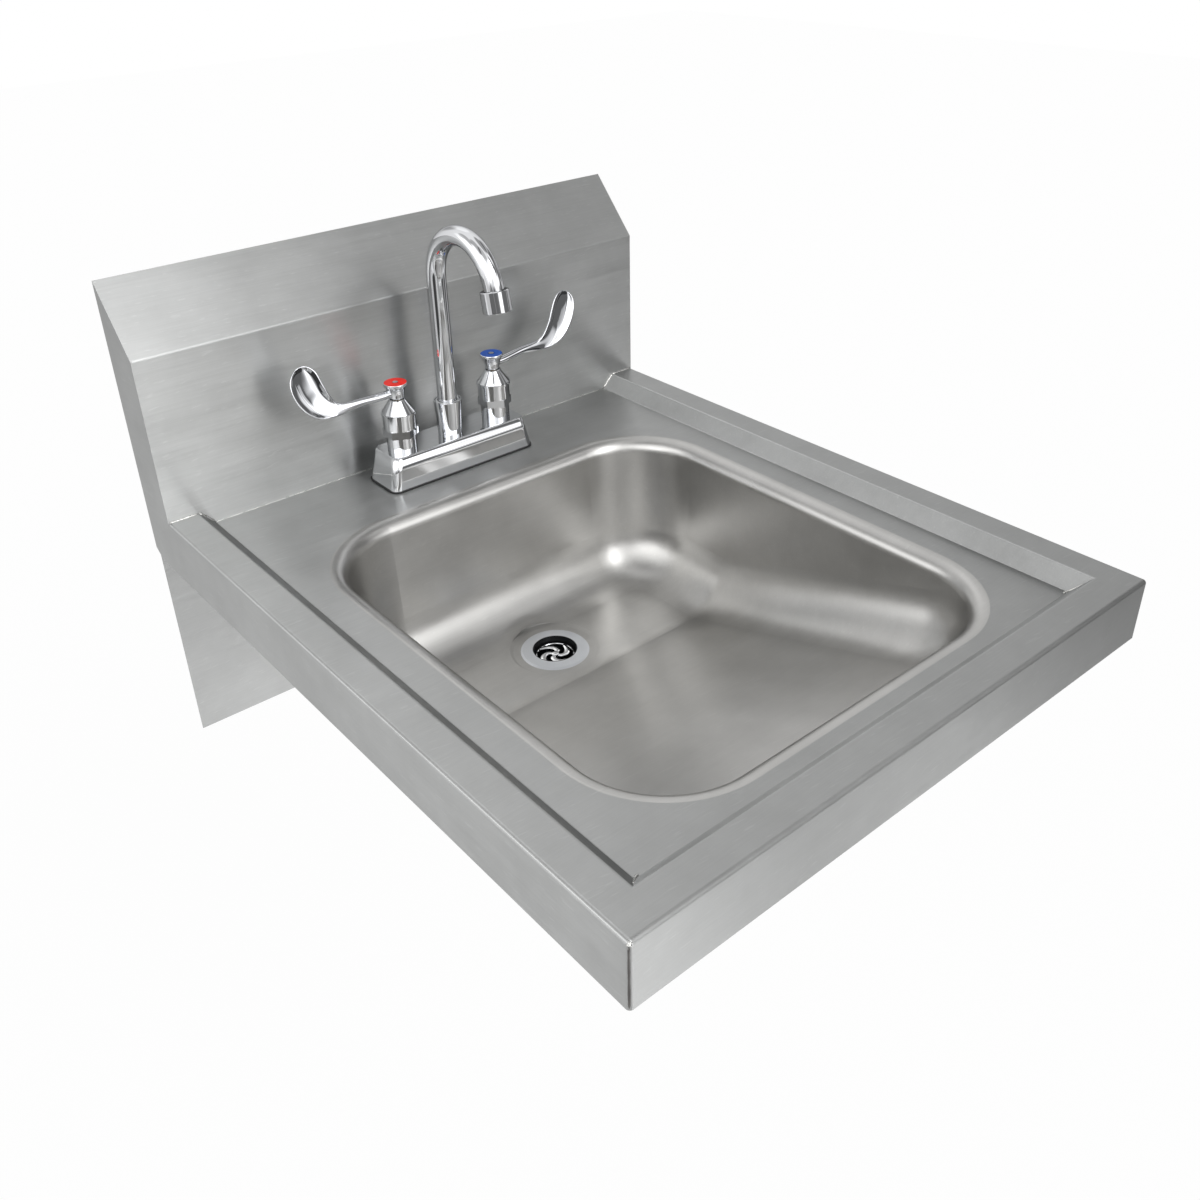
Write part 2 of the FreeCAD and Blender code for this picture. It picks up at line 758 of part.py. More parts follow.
def make_spout_collar():
    """The flared nut that holds the spout down and lets it swivel."""
    lip_z = tube_z + running_gap
    cup_z = lip_z + collar_lip_height
    top_z = base_top_z + collar_height
    thread = nipple_radius + thread_gap
    profile = [
        (thread, base_top_z),
        (collar_bottom_radius, base_top_z),
        (collar_top_radius, top_z),
        (collar_top_radius - collar_rim, top_z),
        (collar_bottom_radius - collar_rim / 2, cup_z),
        (tube_radius + running_gap, cup_z),
        (tube_radius + running_gap, lip_z),
        (thread, lip_z),
    ]
    return turned(profile, 0, faucet_y)


def gooseneck_end():
    """The end of the bent tube's centre line and its direction there."""
    turn = math.radians(gooseneck_turn)
    bend_z = base_top_z + tube_rise
    place = Vector(
        0,
        faucet_y - gooseneck_radius * (1 - math.cos(turn)),
        bend_z + gooseneck_radius * math.sin(turn),
    )
    return place, Vector(0, -math.sin(turn), math.cos(turn))


def gooseneck_path(start_z, tail):
    """The tube's centre line from a height to a length past the bend."""
    half_turn = math.radians(gooseneck_turn) / 2
    bend_z = base_top_z + tube_rise
    foot = Vector(0, faucet_y, start_z)
    shoulder = Vector(0, faucet_y, bend_z)
    crown = Vector(
        0,
        faucet_y - gooseneck_radius * (1 - math.cos(half_turn)),
        bend_z + gooseneck_radius * math.sin(half_turn),
    )
    end, direction = gooseneck_end()
    edges = [
        Part.LineSegment(foot, shoulder).toShape(),
        Part.Arc(shoulder, crown, end).toShape(),
        Part.LineSegment(end, end + direction * tail).toShape(),
    ]
    return Part.Wire(edges)


def make_spout():
    """The bent tube from the collar to the aerator."""
    path = gooseneck_path(tube_z, aerator_socket_length)
    pipes = []
    for radius in (tube_radius, tube_radius - tube_wall):
        ring = Part.Wire(Part.makeCircle(radius, Vector(0, faucet_y, tube_z), Vector(0, 0, 1)))
        pipes.append(path.makePipeShell([ring], True, False))
    return pipes[0].cut(pipes[1])


def ring_places():
    """The heights of the two sealing rings on the bushing's plug."""
    plug_z = collar_seat_z - bushing_plug_length
    return [plug_z + bushing_plug_length * share for share in (ring_lower_share, ring_upper_share)]


def make_spout_bushing():
    """The brass plug brazed to the foot of the tube, grooved for its rings."""
    plug_z = collar_seat_z - bushing_plug_length
    plug = rod(nipple_bore_radius, plug_z, collar_seat_z, 0, faucet_y)
    flange = rod(nipple_radius - plug_gap, collar_seat_z + running_gap, tube_z, 0, faucet_y)
    neck = rod(nipple_bore_radius, collar_seat_z, collar_seat_z + running_gap, 0, faucet_y)
    bushing = plug.fuse([neck, flange])
    groove_floor = nipple_bore_radius - 2 * ring_section_radius
    for z in ring_places():
        low = z - ring_section_radius - plug_gap
        high = z + ring_section_radius + plug_gap
        bushing = bushing.cut(washer(nipple_bore_radius + overrun, groove_floor, low, high, 0, faucet_y))
    return bushing.cut(rod(bushing_bore_radius, plug_z - overrun, tube_z + overrun, 0, faucet_y))


def make_spout_rings():
    """The two rubber rings that seal the swivel."""
    centre_radius = nipple_bore_radius - ring_section_radius + plug_gap
    rings = [
        Part.makeTorus(centre_radius, ring_section_radius, Vector(0, faucet_y, z)) for z in ring_places()
    ]
    return Part.makeCompound(rings)


def at_outlet(shape):
    """Carry a shape built down from the origin to the end of the spout's bend."""
    place, direction = gooseneck_end()
    turn = FreeCAD.Rotation(Vector(0, 0, -1), direction)
    moved = shape.copy()
    moved.Placement = FreeCAD.Placement(place, turn)
    return moved


def make_aerator_shell():
    """The plated cap on the end of the spout."""
    inner = aerator_radius - aerator_wall
    socket = tube_radius + plug_gap
    lip = inner - aerator_wall
    profile = [
        (socket, 0),
        (aerator_radius - aerator_edge, 0),
        (aerator_radius, -aerator_edge),
        (aerator_radius, -aerator_length + aerator_edge),
        (aerator_radius - aerator_edge, -aerator_length),
        (lip, -aerator_length),
        (lip, -aerator_length + aerator_wall),
        (inner, -aerator_length + aerator_wall),
        (inner, -aerator_socket_length),
        (socket, -aerator_socket_length),
    ]
    return at_outlet(turned(profile, 0, 0))


def make_aerator_washer():
    """The rubber ring between the tube's end and the insert."""
    outer = aerator_radius - aerator_wall - plug_gap
    inner = tube_radius - tube_wall
    top = -aerator_socket_length - plug_gap
    return at_outlet(washer(outer, inner, top - aerator_washer_thickness, top, 0, 0))


def make_aerator_insert():
    """The perforated disc that breaks up the stream."""
    radius = aerator_radius - aerator_wall - plug_gap
    bottom = -aerator_length + aerator_wall + plug_gap
    disc = rod(radius, bottom, bottom + aerator_insert_length, 0, 0)
    pitch = radius / (aerator_hole_rings + 1)
    holes = [rod(aerator_hole_radius, bottom - overrun, overrun, 0, 0)]
    for ring in range(1, aerator_hole_rings + 1):
        count = 6 * ring
        for step in range(count):
            turn = 2 * math.pi * step / count
            x = ring * pitch * math.cos(turn)
            y = ring * pitch * math.sin(turn)
            holes.append(rod(aerator_hole_radius, bottom - overrun, overrun, x, y))
    return at_outlet(disc.cut(holes))


def drain_seat_z():
    """The recess floor that the drain's flange rests on."""
    return bowl_floor_z - drain_recess_depth


def strainer_z():
    """The ledge inside the drain that carries the strainer."""
    return drain_seat_z() + drain_flange_thickness - drain_seat_drop


def drain_foot_z():
    """The lower end of the drain's threaded tube."""
    return drain_seat_z() - drain_tube_length


def make_drain_body():
    """The flanged drain with its threaded tube and strainer ledge."""
    seat = drain_seat_z()
    flange_top = seat + drain_flange_thickness
    ledge = strainer_z() - strainer_thickness
    narrow = drain_throat_radius - drain_seat_width
    profile = [
        (drain_throat_radius, flange_top),
        (drain_flange_radius - drain_flange_thickness, flange_top),
        (drain_flange_radius, seat),
        (drain_tube_radius, seat),
        (drain_tube_radius, drain_foot_z()),
        (narrow, drain_foot_z()),
        (narrow, ledge),
        (drain_throat_radius, ledge),
    ]
    return turned(profile, 0, drain_y)


def make_drain_strainer():
    """The ring and cross bars that lie on the drain's ledge."""
    top = strainer_z()
    low = top - strainer_thickness
    rim = drain_throat_radius - plug_gap
    strainer = washer(rim, rim - strainer_rim_width, low, top, 0, drain_y)
    middle = strainer_ring_radius + strainer_ring_width / 2
    strainer = strainer.fuse(washer(middle, middle - strainer_ring_width, low, top, 0, drain_y))
    strainer = strainer.fuse(rod(strainer_hub_radius, low, top + strainer_thickness / 2, 0, drain_y))
    half = strainer_bar_width / 2
    reach = rim - strainer_rim_width / 2
    for step in range(strainer_bars):
        bar = box(0, reach, -half, half, low, top)
        bar.rotate(Vector(0, 0, 0), Vector(0, 0, 1), 360 * (step + 1 / 2) / strainer_bars)
        bar.translate(Vector(0, drain_y, 0))
        strainer = strainer.fuse(bar)
    return strainer.removeSplitter()


def make_drain_gasket():
    """The rubber ring under the bowl."""
    top = drain_seat_z() - sheet
    inner = drain_tube_radius + drain_hole_gap
    return washer(drain_gasket_radius, inner, top - drain_gasket_thickness, top, 0, drain_y)


def make_drain_washer():
    """The slip washer between the rubber ring and the locknut."""
    top = drain_seat_z() - sheet - drain_gasket_thickness
    inner = drain_tube_radius + drain_hole_gap
    return washer(drain_gasket_radius, inner, top - drain_washer_thickness, top, 0, drain_y)


def make_drain_locknut():
    """The round nut with lugs that clamps the drain in the bowl."""
    top = drain_seat_z() - sheet - drain_gasket_thickness - drain_washer_thickness
    low = top - locknut_height
    nut = rod(locknut_radius, low, top, 0, drain_y)
    half = locknut_lug_width / 2
    for step in range(locknut_lug_count):
        lug = box(0, locknut_radius + locknut_lug_reach, -half, half, low, top)
        lug.rotate(Vector(0, 0, 0), Vector(0, 0, 1), 360 * step / locknut_lug_count)
        lug.translate(Vector(0, drain_y, 0))
        nut = nut.fuse(lug)
    bore = rod(drain_tube_radius + thread_gap, low - overrun, top + overrun, 0, drain_y)
    return nut.cut(bore).removeSplitter()


def make_tail_washer():
    """The sealing washer between the drain and the tailpiece."""
    top = drain_foot_z()
    inner = tailpiece_radius - tailpiece_wall
    return washer(drain_tube_radius, inner, top - tail_washer_thickness, top, 0, drain_y)


def make_tailpiece():
    """The flanged waste tube that a trap slides over."""
    top = drain_foot_z() - tail_washer_thickness
    inner = tailpiece_radius - tailpiece_wall
    tube = washer(tailpiece_radius, inner, top - tailpiece_length, top, 0, drain_y)
    flange_z = top - tailpiece_flange_thickness
    flange = washer(drain_tube_radius, inner, flange_z, top, 0, drain_y)
    neck = washer(tailpiece_neck_radius, inner, flange_z - tailpiece_neck_height, flange_z, 0, drain_y)
    return tube.fuse([neck, flange]).removeSplitter()


def make_tail_nut():
    """The coupling nut that draws the tailpiece up to the drain."""
    floor_top = drain_foot_z() - tail_washer_thickness - tailpiece_flange_thickness
    low = floor_top - tail_nut_floor
    nut = hexagon(tail_nut_flats, low, low + tail_nut_height, 0, drain_y)
    nut = nut.cut(rod(drain_tube_radius + thread_gap, floor_top, low + tail_nut_height, 0, drain_y))
    return nut.cut(rod(tailpiece_neck_radius + hole_gap, low - overrun, floor_top, 0, drain_y))


def valve_pieces(side, colour):
    """The pieces of one tap, named after its water."""
    x = side * valve_x
    return {
        colour + "_valve_body": make_valve_body(x),
        colour + "_cartridge": make_cartridge(x),
        colour + "_stem": make_stem(x),
        colour + "_bonnet": make_bonnet(x),
        colour + "_handle": make_handle(side, x),
        colour + "_index": make_index(x),
        colour + "_handle_screw": make_handle_screw(x),
    }


def all_pieces():
    """Every piece of the basin under its node name."""
    pieces = {
        "top_pan": make_top_pan(),
        "bowl": make_bowl(),
        "backsplash": make_backsplash(),
        "splash_end_left": make_splash_end(-1),
        "splash_end_right": make_splash_end(1),
        "wall_skirt": make_wall_skirt(),
        "wall_hanger": make_wall_hanger(),
        "faucet_gasket": make_faucet_gasket(),
        "faucet_base": make_faucet_base(),
        "faucet_body": make_faucet_body(),
        "shank_washers": make_shank_washers(),
        "shank_nuts": make_shank_nuts(),
        "spout_collar": make_spout_collar(),
        "spout": make_spout(),
        "spout_bushing": make_spout_bushing(),
        "spout_rings": make_spout_rings(),
        "aerator_shell": make_aerator_shell(),
        "aerator_washer": make_aerator_washer(),
        "aerator_insert": make_aerator_insert(),
        "drain_body": make_drain_body(),
        "drain_strainer": make_drain_strainer(),
        "drain_gasket": make_drain_gasket(),
        "drain_washer": make_drain_washer(),
        "drain_locknut": make_drain_locknut(),
        "tail_washer": make_tail_washer(),
        "tailpiece": make_tailpiece(),
        "tail_nut": make_tail_nut(),
    }
    pieces.update(valve_pieces(-1, "hot"))
    pieces.update(valve_pieces(1, "cold"))
    return pieces


os.makedirs("parts", exist_ok=True)
for name, shape in all_pieces().items():
    shape.exportStep("parts/" + name + ".step")
    print(name, len(shape.Solids), round(shape.Volume), shape.isValid())
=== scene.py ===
import math

import bmesh
import bpy
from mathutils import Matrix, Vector


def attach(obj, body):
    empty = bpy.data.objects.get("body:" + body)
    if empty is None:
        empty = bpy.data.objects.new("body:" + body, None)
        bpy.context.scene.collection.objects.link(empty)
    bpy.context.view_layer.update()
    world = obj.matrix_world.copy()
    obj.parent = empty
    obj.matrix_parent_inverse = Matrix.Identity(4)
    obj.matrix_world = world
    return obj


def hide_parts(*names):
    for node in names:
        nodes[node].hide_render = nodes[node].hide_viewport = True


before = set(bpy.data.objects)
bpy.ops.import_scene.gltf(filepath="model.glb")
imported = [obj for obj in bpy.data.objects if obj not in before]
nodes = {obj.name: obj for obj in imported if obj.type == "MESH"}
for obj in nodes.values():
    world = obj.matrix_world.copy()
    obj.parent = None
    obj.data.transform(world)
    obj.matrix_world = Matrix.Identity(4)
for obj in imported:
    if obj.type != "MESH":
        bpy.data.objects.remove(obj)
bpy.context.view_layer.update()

# Camera, fitted to the photograph's straight edges
CAMERA_PLACE = (-0.51283, -0.92179, 0.45877)
CAMERA_TURN = (60.0306, 1.1647, -40.1189)
CAMERA_LENS = 34.814
CAMERA_SENSOR = 36.0
CAMERA_SHIFT_Y = -0.05
CAMERA_NEAR = 0.01
CAMERA_FAR = 100.0

# Studio: a pale floor, in metres, and how much of its white the camera sees
FLOOR_DROP = 0.86
FLOOR_HALF = 9.0
FLOOR_COLOUR = 0.82
FLOOR_WHITE_SHARE = 0.94

# The room round the object: its even brightness, the share of plain white that reflections get,
# and the place that directions on the floor are measured from
ROOM_LEVEL = 0.87
ROOM_DARKEST = 0.05
ROOM_GLOSS_SHARE = 0.1
ROOM_AIM = (0.0, -0.3, 0.0)
# Softboxes and dark screens: angle up, angles between which the edge fades,
# and for each one its angle from +X with the brightness that it adds
ROOM_PATCHES = (
    (-45, 4, 13, {324: 0.57, 336: 0.42}),
    (-30, 4, 13, {288: 0.35}),
    (-15, 4, 13, {300: -0.70, 348: -0.38}),
    (0, 4, 13, {240: -0.46, 252: -0.42, 264: -0.70, 276: 0.72, 288: 0.64}),
    (0, 4, 13, {300: -0.70, 312: -0.48, 324: -0.40}),
    (15, 4, 13, {276: 1.28, 288: 2.0, 300: -0.60, 312: 0.65, 336: -0.52}),
    (30, 4, 13, {240: 0.57, 264: 0.35, 276: 1.14, 288: 1.1, 300: -0.70, 312: -0.53, 348: -0.62}),
    (45, 4, 13, {264: 0.35, 276: 1.09, 288: 2.02, 300: -0.52, 312: -0.70, 324: 0.64}),
    (-16, 5, 17, {202: -0.44, 218: -0.46}),
    (4, 5, 17, {218: -0.48}),
    (24, 5, 17, {90: -0.46, 138: 0.31, 154: 0.68, 170: 0.60, 186: 0.29, 202: 0.39, 218: 1.03}),
    (-60, 13, 20, {300: 0.34}),
    (-35, 13, 20, {120: 0.14, 270: 0.46, 300: 0.37, 330: 0.23}),
    (-10, 13, 20, {0: -0.32, 180: -0.28, 210: -0.63, 240: -0.37, 270: 0.17, 300: -0.70, 330: -0.60}),
    (15, 13, 20, {0: -0.55, 150: 0.50, 180: 0.28, 210: 0.32, 270: 0.70, 330: -0.35}),
    (40, 13, 20, {0: -0.52, 72: 0.25, 144: -0.45, 180: 0.63}),
    (40, 13, 20, {216: 0.70, 252: 0.31, 288: 0.60, 324: -0.26}),
    (65, 13, 20, {0: -0.62, 180: -0.48, 240: -0.39}),
)
# Cards with crisp edges: angles from +X, angles up, and the brightness that each adds
ROOM_CARDS = (
    (219.0, 234.0, -30.0, -6.0, 0.5),
    (246.0, 279.0, -30.0, -6.0, -0.8),
    (297.5, 306.0, 3.0, 36.0, 1.3),
    (190.0, 206.0, 11.0, 26.0, 1.8),
)
# How wide a card's edge is
CARD_EDGE = 2.0

MM = 0.001
UP = (0.0, 0.0, 1.0)

# Noise keeps mostly between these values
NOISE_LOW = 0.3
NOISE_HIGH = 0.7

# Brushed steel: how close its marks lie along and across the grain, and how strongly they,
# the clouds and the patches change roughness and shade
FINE_GRAIN = (22.0, 800.0)
BROAD_GRAIN = (5.0, 160.0)
FINE_SHARE = 0.6
BROAD_SHARE = 0.4
SCRATCH_GRAIN = (26.0, 520.0)
SCRATCH_TILT = (0.05, 0.12, 0.16)
SCRATCH_FROM = 0.66
SCRATCH_TO = 0.74
SCRATCH_ROUGHNESS = 0.02
SCRATCH_LIGHT = 0.08
GRAIN_DEPTH = 0.12
GRAIN_ROUGHNESS = (-0.05, 0.06)
GRAIN_SHADE = (-0.065, 0.06)
CLOUD_SCALE = 9.0
CLOUD_ROUGHNESS = (-0.03, 0.03)
CLOUD_SHADE = (0.93, 1.06)
PATCH_SCALE = 34.0
PATCH_SHADE = (0.965, 1.03)
# How far sideways a face looks before its grain runs along Y, and a limit that no face reaches
SIDE_LIMIT = 0.8
NO_LIMIT = 2.0
# Tool marks of turned metal, and rings of the drain's flange per metre
TOOL_MARKS = (30.0, 30.0, 2500.0)
FLANGE_RINGS = 2600.0

# How much of their colour metals keep at grazing angles
STEEL_EDGE = 0.6
DRAIN_EDGE = 0.7
CHROME_EDGE = 0.3

# The drain, in millimetres from its axis: its bore, darkened with painted shade, its flat flange and the
# bowl's soft-edged recess
DRAIN_Y = -231.0
# The bore's painted shade is full inside the first radius, gone outside the second, and this dark at its
# darkest
DRAIN_BORE_DARK = 19.9
DRAIN_BORE_BRIGHT = 20.3
BORE_PAINTED_SHADE = 0.05
FLANGE_FLAT_FROM = 21.8
FLANGE_FLAT_SHARE = 0.8
RECESS_INNER = 42.0
RECESS_OUTER = 53.0
RECESS_SOFT_SHARE = 0.88

# Soft shoulders of bright plate: between two heights the surface leans upwards, by up to a share
BASE_SHOULDER = (5.0, 18.3, 0.45)
BLADE_SHOULDER = (60.0, 61.0, 0.2)

scene = bpy.context.scene
scene.view_settings.view_transform = "Standard"


def new_object(name, mesh):
    """An object in the scene's collection that holds a mesh."""
    obj = bpy.data.objects.new(name, mesh)
    scene.collection.objects.link(obj)
    return obj


def mesh_object(name, verts, faces, smooth=True):
    """A mesh object from points and faces."""
    mesh = bpy.data.meshes.new(name)
    mesh.from_pydata([tuple(v) for v in verts], [], faces)
    mesh.update()
    for polygon in mesh.polygons:
        polygon.use_smooth = smooth
    return new_object(name, mesh)


class Nodes:
    """Short calls for building one node tree."""

    def __init__(self, tree):
        self.tree = tree
        tree.nodes.clear()

    def add(self, kind, **values):
        """A new node of a kind, with its settings."""
        node = self.tree.nodes.new(kind)
        for key, value in values.items():
            setattr(node, key, value)
        return node

    def link(self, source, target):
        """Joins an output to an input."""
        self.tree.links.new(source, target)

    def put(self, node, key, value):
        """Links a socket to an input, or sets the input's value."""
        if isinstance(value, bpy.types.NodeSocket):
            self.link(value, node.inputs[key])
        elif value is not None:
            node.inputs[key].default_value = value

    def math(self, operation, a, b=None, c=None, clamp=False):
        node = self.add("ShaderNodeMath", operation=operation, use_clamp=clamp)
        for index, value in enumerate((a, b, c)):
            self.put(node, index, value)
        return node.outputs[0]

    def vector(self, operation, a, b=None):
        node = self.add("ShaderNodeVectorMath", operation=operation)
        self.put(node, 0, a)
        self.put(node, 1, b)
        return node.outputs["Vector"]

    def mix_vector(self, share, a, b):
        node = self.add("ShaderNodeMix", data_type="VECTOR")
        self.put(node, 0, share)
        self.put(node, 4, a)
        self.put(node, 5, b)
        return node.outputs[1]

    def spread(self, value, low, high, to_low, to_high):
        """A value carried from one range to another, clamped."""
        node = self.add("ShaderNodeMapRange")
        for key, number in (("From Min", low), ("From Max", high), ("To Min", to_low), ("To Max", to_high)):
            node.inputs[key].default_value = number
        self.link(value, node.inputs["Value"])
        return node.outputs["Result"]

    def noise(self, vector, scale, detail=2.0, roughness=0.5):
        node = self.add("ShaderNodeTexNoise")
        self.put(node, "Vector", vector)
        self.put(node, "Scale", scale)
        self.put(node, "Detail", detail)
        self.put(node, "Roughness", roughness)
        return node.outputs["Fac"]

    def bump(self, height, strength, distance, normal=None):
        node = self.add("ShaderNodeBump")
        self.put(node, "Height", height)
        self.put(node, "Strength", strength)
        self.put(node, "Distance", distance)
        if normal is not None:
            self.link(normal, node.inputs["Normal"])
        return node.outputs["Normal"]

    def smooth_step(self, value, low, high):
        """0 below the low value and 1 above the high one, with a soft change between."""
        node = self.add("ShaderNodeMapRange", interpolation_type="SMOOTHSTEP")
        for key, number in (("Value", value), ("From Min", low), ("From Max", high)):
            self.put(node, key, number)
        return node.outputs["Result"]

    def dot(self, a, b):
        node = self.add("ShaderNodeVectorMath", operation="DOT_PRODUCT")
        self.put(node, 0, a)
        self.put(node, 1, b)
        return node.outputs["Value"]

    def parts(self, vector):
        """The X, Y and Z of a vector."""
        node = self.add("ShaderNodeSeparateXYZ")
        self.put(node, 0, vector)
        return node.outputs

    def varied(self, noise, low, high):
        """Noise carried to a range of values."""
        return self.spread(noise, NOISE_LOW, NOISE_HIGH, low, high)


class Surface(Nodes):
    """The node tree of a new material, with its shader."""

    def __init__(self, name):
        self.material = bpy.data.materials.new(name)
        self.material.use_nodes = True
        super().__init__(self.material.node_tree)
        self.output = self.add("ShaderNodeOutputMaterial")
        self.shader = self.add("ShaderNodeBsdfPrincipled")
        self.link(self.shader.outputs["BSDF"], self.output.inputs["Surface"])

    def place(self):
        """Where the shaded point lies on the object."""
        return self.add("ShaderNodeTexCoord").outputs["Object"]

    def facing(self):
        """The direction in which the surface looks."""
        return self.add("ShaderNodeNewGeometry").outputs["Normal"]

    def set(self, **values):
        """Sets the shader's inputs, with _ for the spaces in their names."""
        for key, value in values.items():
            self.put(self.shader, key.replace("_", " "), value)

    def paint(self, shade, colour):
        """Gives the shader a colour times a shade."""
        tone = self.add("ShaderNodeCombineColor")
        for key, channel in zip(("Red", "Green", "Blue"), colour):
            self.put(tone, key, self.math("MULTIPLY", shade, channel))
        self.put(self.shader, "Base Color", tone.outputs[0])

    def leaning_up(self, share, facing):
        """The surface's direction, leaned upwards by a share."""
        return self.vector("NORMALIZE", self.mix_vector(share, facing, UP))

    def from_drain(self, place):
        """The distance from the drain's axis."""
        out = self.vector("SUBTRACT", place, (0.0, DRAIN_Y * MM, 0.0))
        flat = self.vector("MULTIPLY", out, (1.0, 1.0, 0.0))
        length = self.add("ShaderNodeVectorMath", operation="LENGTH")
        self.put(length, 0, flat)
        return length.outputs["Value"]


def room_level(n, direction):
    """The room's brightness in a direction: an even level, soft-edged patches and crisp cards."""
    level = ROOM_LEVEL
    for elevation, inner, outer, gains in ROOM_PATCHES:
        lift = math.radians(elevation)
        for azimuth, gain in gains.items():
            turn = math.radians(azimuth)
            toward = (math.cos(lift) * math.cos(turn), math.cos(lift) * math.sin(turn), math.sin(lift))
            limits = math.cos(math.radians(outer)), math.cos(math.radians(inner))
            near = n.smooth_step(n.dot(direction, toward), *limits)
            level = n.math("MULTIPLY_ADD", near, gain, level)
    parts = n.parts(direction)
    # The opposite direction's angle plus half a turn runs from 0 to a full turn
    back = [n.math("MULTIPLY", parts[key], -1.0) for key in ("Y", "X")]
    turn = n.math("ADD", n.math("ARCTAN2", *back), math.pi)
    lift = n.math("ARCSINE", parts["Z"])
    edge = math.radians(CARD_EDGE) / 2
    for turn_0, turn_1, lift_0, lift_1, gain in ROOM_CARDS:
        inside = 1.0
        for angle, low, high in ((turn, turn_0, turn_1), (lift, lift_0, lift_1)):
            for limit, side in ((low, 1), (high, -1)):
                limit = math.radians(limit)
                step = n.spread(angle, limit - side * edge, limit + side * edge, 0.0, 1.0)
                inside = n.math("MULTIPLY", step, inside)
        level = n.math("MULTIPLY_ADD", inside, gain, level)
    return n.math("MAXIMUM", level, ROOM_DARKEST)


def brushed(name, colour, roughness, anisotropy, line=1.0, side_grain=True, soft_recess=False):
    """Satin sheet metal with brush lines along X, or along Y on faces that look sideways."""
    n = Surface(name)
    place, facing = n.place(), n.facing()
    limit = SIDE_LIMIT if side_grain else NO_LIMIT
    sideways = n.math("GREATER_THAN", n.math("ABSOLUTE", n.parts(facing)["X"]), limit)

    def stretched(scales, source=place):
        """The place scaled for marks that run along the grain."""
        along, across = scales
        on_x = n.vector("MULTIPLY", source, (along, across, across))
        on_y = n.vector("MULTIPLY", source, (across, along, across))
        return n.mix_vector(sideways, on_x, on_y)

    tilt = n.add("ShaderNodeVectorRotate", rotation_type="EULER_XYZ")
    n.put(tilt, "Vector", place)
    n.put(tilt, "Rotation", SCRATCH_TILT)
    fine = n.noise(stretched(FINE_GRAIN), 1.0, 3.0, 0.6)
    broad = n.noise(stretched(BROAD_GRAIN), 1.0, 4.0, 0.6)
    lines = n.math("ADD", n.math("MULTIPLY", fine, FINE_SHARE), n.math("MULTIPLY", broad, BROAD_SHARE))
    marks = n.noise(stretched(SCRATCH_GRAIN, tilt.outputs[0]), 1.0, 1.0, 0.4)
    scratches = n.spread(marks, SCRATCH_FROM, SCRATCH_TO, 0.0, line)
    cloud = n.noise(place, CLOUD_SCALE, 3.0, 0.55)
    patches = n.noise(place, PATCH_SCALE, 3.0, 0.6)

    rough = n.varied(lines, *(roughness + change * line for change in GRAIN_ROUGHNESS))
    rough = n.math("ADD", rough, n.varied(cloud, *CLOUD_ROUGHNESS))
    rough = n.math("MULTIPLY_ADD", scratches, SCRATCH_ROUGHNESS, rough)
    shade = n.varied(lines, *(1 + change * line for change in GRAIN_SHADE))
    shade = n.math("MULTIPLY", shade, n.varied(cloud, *CLOUD_SHADE))
    shade = n.math("MULTIPLY", shade, n.varied(patches, *PATCH_SHADE))
    shade = n.math("MULTIPLY", shade, n.math("MULTIPLY_ADD", scratches, SCRATCH_LIGHT, 1.0))
    n.paint(shade, colour)
    grain = n.mix_vector(sideways, (1.0, 0.0, 0.0), (0.0, 1.0, 0.0))
    across = n.vector("NORMALIZE", n.vector("CROSS_PRODUCT", facing, grain))
    under = None
    if soft_recess:
        near = n.spread(n.from_drain(place), RECESS_INNER * MM, RECESS_OUTER * MM, RECESS_SOFT_SHARE, 0.0)
        under = n.leaning_up(near, facing)
    n.set(Metallic=1.0, Roughness=rough, Anisotropic=anisotropy, Tangent=across)
    n.set(Specular_Tint=(STEEL_EDGE, STEEL_EDGE, STEEL_EDGE, 1))
    n.set(Normal=n.bump(lines, GRAIN_DEPTH * line, 0.0002, under))
    return n.material


def polished(name, colour, roughness, ripple=0.02, edge=1.0, shoulder=None):
    """Bright plate with a faint ripple and wiped marks, and a soft shoulder between two heights."""
    n = Surface(name)
    place = n.place()
    n.paint(n.varied(n.noise(place, 25.0), 0.97, 1.0), colour)
    under = None
    if shoulder:
        low, high, share = shoulder
        near = n.spread(n.parts(place)["Z"], low * MM, high * MM, 0.0, share)
        under = n.leaning_up(near, n.facing())
    n.set(Metallic=1.0, Roughness=n.varied(n.noise(place, 60.0), roughness * 0.6, roughness * 1.6))
    n.set(Specular_Tint=(edge, edge, edge, 1))
    n.set(Normal=n.bump(n.noise(place, 90.0, 1.0), ripple, 0.001, under))
    return n.material


def drain_steel(name, colour, roughness):
    """Satin flange with fine turning rings, and a bore darkened with painted shade."""
    n = Surface(name)
    place = n.vector("SUBTRACT", n.place(), (0.0, DRAIN_Y * MM, 0.0))
    radius = n.from_drain(n.place())
    rings = n.add("ShaderNodeCombineXYZ")
    n.put(rings, "X", n.math("MULTIPLY", radius, FLANGE_RINGS))
    lines = n.noise(rings.outputs[0], 1.0)
    cloud = n.noise(place, 60.0, 3.0)
    both = n.math("ADD", lines, cloud)
    rough = n.spread(both, 2 * NOISE_LOW, 2 * NOISE_HIGH, roughness - 0.05, roughness + 0.05)
    shade = n.math("MULTIPLY", n.varied(lines, 0.96, 1.02), n.varied(cloud, 0.96, 1.02))
    # Painted shade: the colour inside the bore is darkened, fading out between the two bore radii
    bore = n.spread(radius, DRAIN_BORE_DARK * MM, DRAIN_BORE_BRIGHT * MM, BORE_PAINTED_SHADE, 1.0)
    n.paint(n.math("MULTIPLY", shade, bore), colour)
    near = n.spread(radius, DRAIN_BORE_BRIGHT * MM, FLANGE_FLAT_FROM * MM, 0.0, FLANGE_FLAT_SHARE)
    under = n.leaning_up(near, n.facing())
    n.set(Metallic=1.0, Roughness=rough, Specular_Tint=(DRAIN_EDGE, DRAIN_EDGE, DRAIN_EDGE, 1))
    n.set(Normal=n.bump(lines, 0.08, 0.0001, under))
    return n.material


